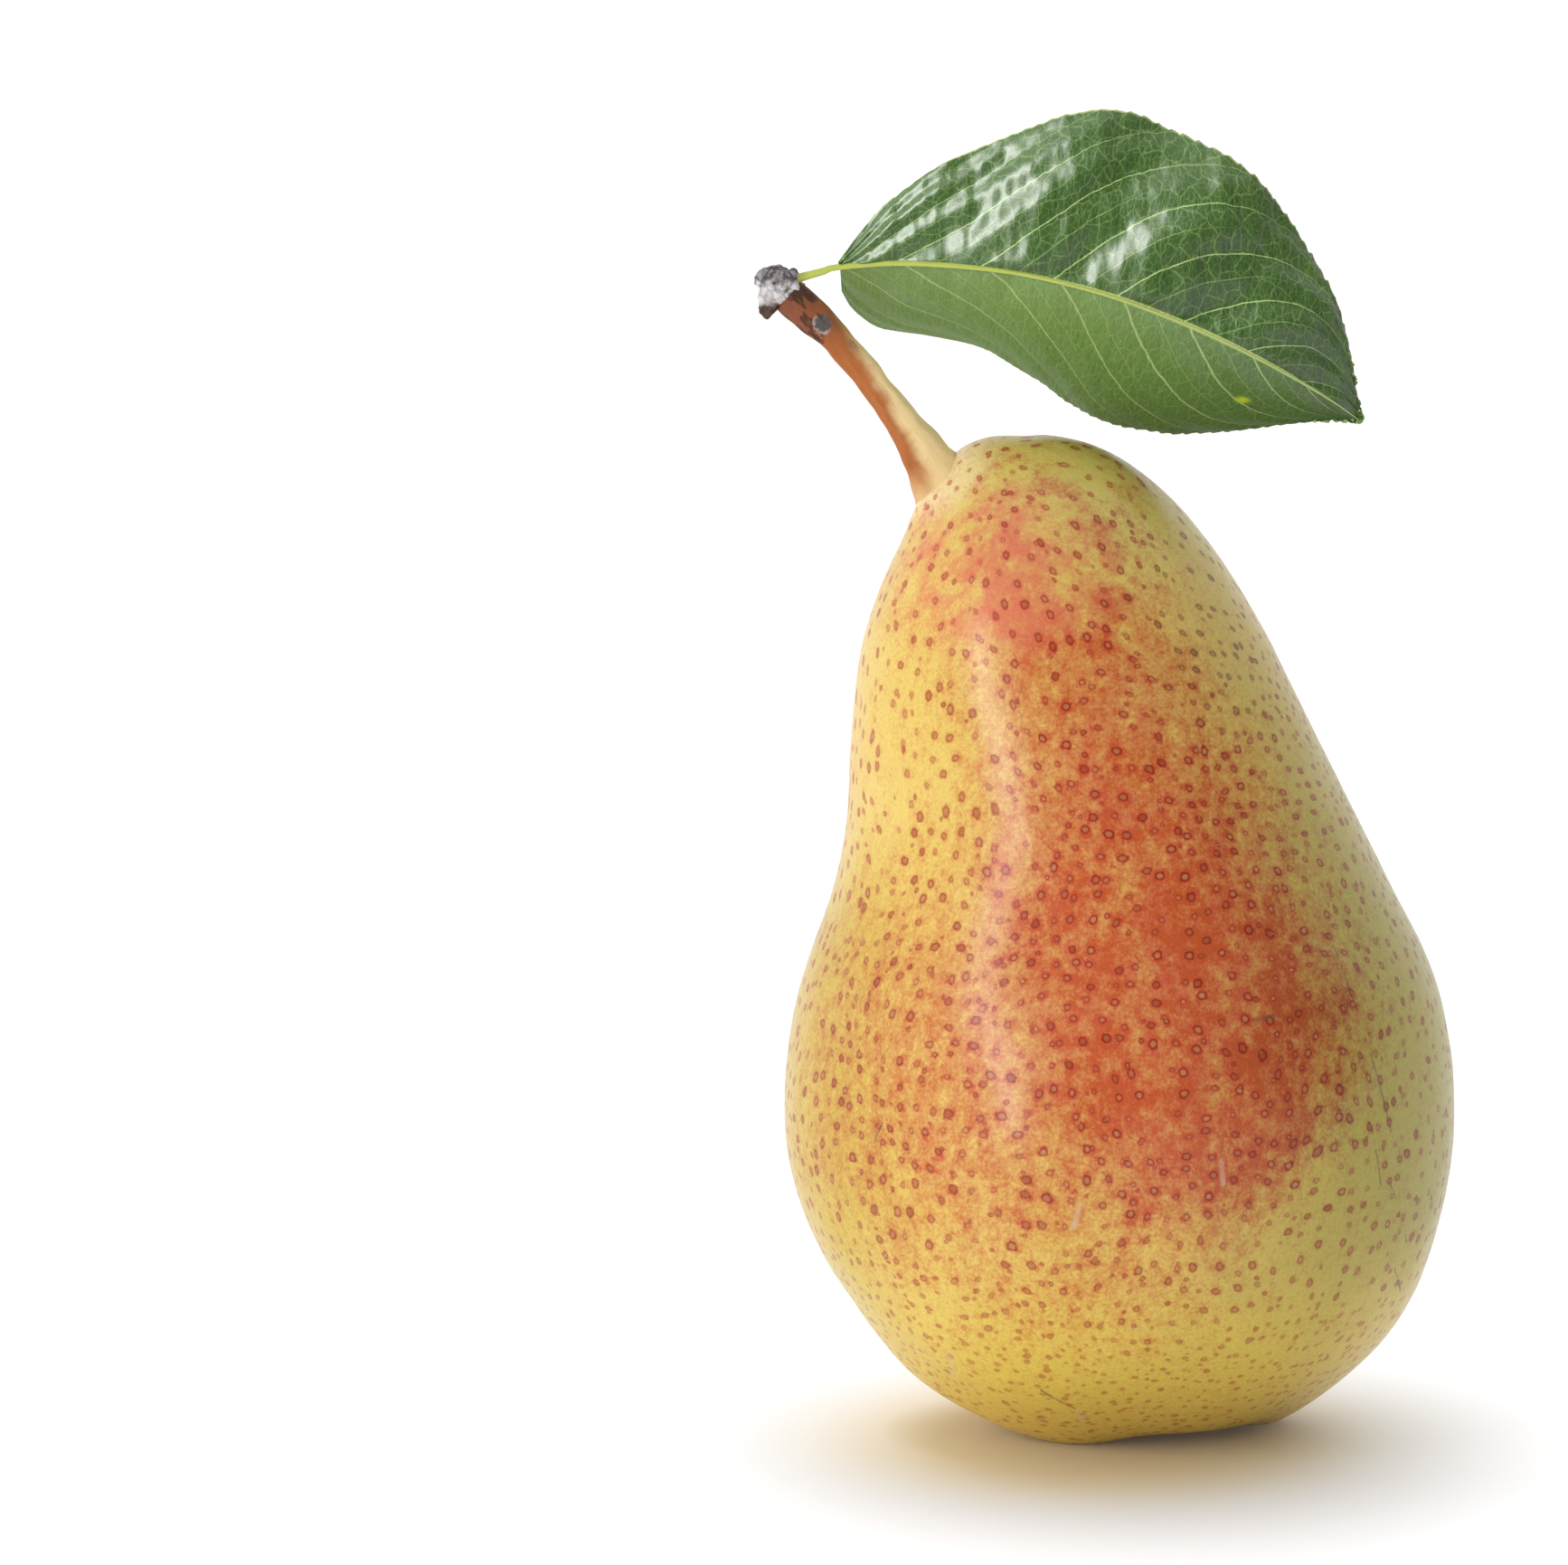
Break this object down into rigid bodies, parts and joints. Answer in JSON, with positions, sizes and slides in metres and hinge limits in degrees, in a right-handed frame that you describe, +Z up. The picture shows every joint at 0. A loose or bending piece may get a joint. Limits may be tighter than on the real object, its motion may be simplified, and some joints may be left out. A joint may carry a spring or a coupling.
{
  "type": "pear",
  "caption": "Ripe pear standing on its base lobes, with a bent stem, a stub of spur wood, one glossy leaf on its stalk and a dried calyx.",
  "frame": {"origin": "on the surface the pear rests on, under the middle of the whole object's bounding box", "axes": "+Z up from the resting plane; -Y towards the viewer of the best side; +X to that viewer's right, the side the leaf points to"},
  "size_m": [0.0671, 0.063, 0.127],
  "materials": {
    "skin": "waxy golden-yellow pear skin with a red-orange blush, an olive flank and brown-ringed dots",
    "stem": "smooth tan to red-brown woody stem, dull",
    "spur_bark": "rough grey flaking bark with dark brown cracks",
    "leaf_stalk": "smooth yellow-green leaf stalk",
    "leaf": "glossy dark green leaf with pale veins",
    "dried_calyx": "dry, dull brown-black withered sepals"
  },
  "bodies": {
    "root": {"fruit": "skin", "stem": "stem", "spur_stub": "spur_bark", "leaf_stalk": "leaf_stalk", "leaf_blade": "leaf", "calyx_cup": "dried_calyx", "sepal_1": "dried_calyx", "sepal_2": "dried_calyx", "sepal_3": "dried_calyx", "sepal_4": "dried_calyx", "sepal_5": "dried_calyx"}
  },
  "joints": []
}
